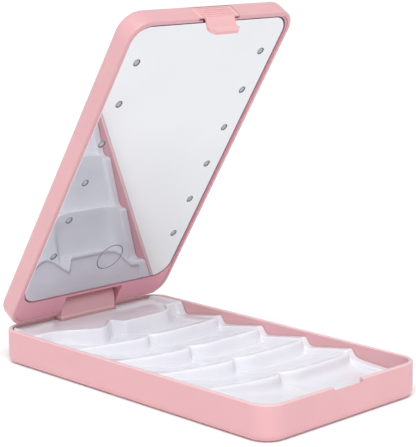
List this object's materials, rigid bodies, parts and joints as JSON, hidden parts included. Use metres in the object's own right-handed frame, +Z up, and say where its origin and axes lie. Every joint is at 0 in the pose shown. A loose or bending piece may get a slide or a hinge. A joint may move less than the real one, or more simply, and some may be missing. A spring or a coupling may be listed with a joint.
{
  "type": "eyelash storage case",
  "caption": "Flat folding case for false lashes: formed tray in the base, lighted mirror in a friction-hinged lid, sprung thumb latch.",
  "frame": {"origin": "centre of the base's flat underside", "axes": "+X to the user's right along the hinge, +Y from the latch to the hinge, +Z up"},
  "size_m": [0.0968, 0.1727, 0.165],
  "materials": {
    "pink_shell": "satin pink moulded plastic",
    "pink_frame": "satin pink moulded plastic",
    "pink_latch": "satin pink moulded plastic, ribbed",
    "tray_sheet": "glossy milky formed sheet",
    "mirror": "silvered glass",
    "light_package": "clear and white moulded light",
    "circuit_board": "white solder mask",
    "cell_pouch": "laminated foil",
    "copper_pad": "bare copper",
    "lead_sleeve": "soft insulation",
    "tape": "foam tape",
    "bush_plastic": "natural nylon",
    "steel": "plated steel"
  },
  "bodies": {
    "base": {"base_shell": "pink_shell", "lash_tray": "tray_sheet", "hinge_bush_left": "bush_plastic", "hinge_bush_right": "bush_plastic"},
    "lid": {"lid_outer_shell": "pink_shell", "lid_inner_frame": "pink_frame", "mirror_glass": "mirror", "mirror_tape": "tape", "light_board_left": "circuit_board", "light_board_right": "circuit_board", "control_board": "circuit_board", "charging_socket": "steel", "battery_cell": "cell_pouch", "battery_tape": "tape", "touch_pad": "copper_pad", "light_leads": "lead_sleeve", "battery_leads": "lead_sleeve", "frame_screws": "steel", "hinge_pin": "steel", "latch_springs": "steel", "light_left_1": "light_package", "light_left_2": "light_package", "light_left_3": "light_package", "light_left_4": "light_package", "light_left_5": "light_package", "light_left_6": "light_package", "light_right_1": "light_package", "light_right_2": "light_package", "light_right_3": "light_package", "light_right_4": "light_package", "light_right_5": "light_package", "light_right_6": "light_package"},
    "latch": {"latch_button": "pink_latch"}
  },
  "joints": [
    {"name": "lid_hinge", "type": "hinge", "parent": "base", "child": "lid", "pos_m": [0, 0.083, 0.0212], "axis": [-1, 0, 0], "range_deg": [-57.7, 62.3]},
    {"name": "latch_press", "type": "slide", "parent": "lid", "child": "latch", "axis": [0, 0.5344, -0.8453], "range_m": [0, 0.0009], "stiffness_N_per_m": 600, "springref_m": -0.002, "deforming": ["latch_springs"]}
  ]
}
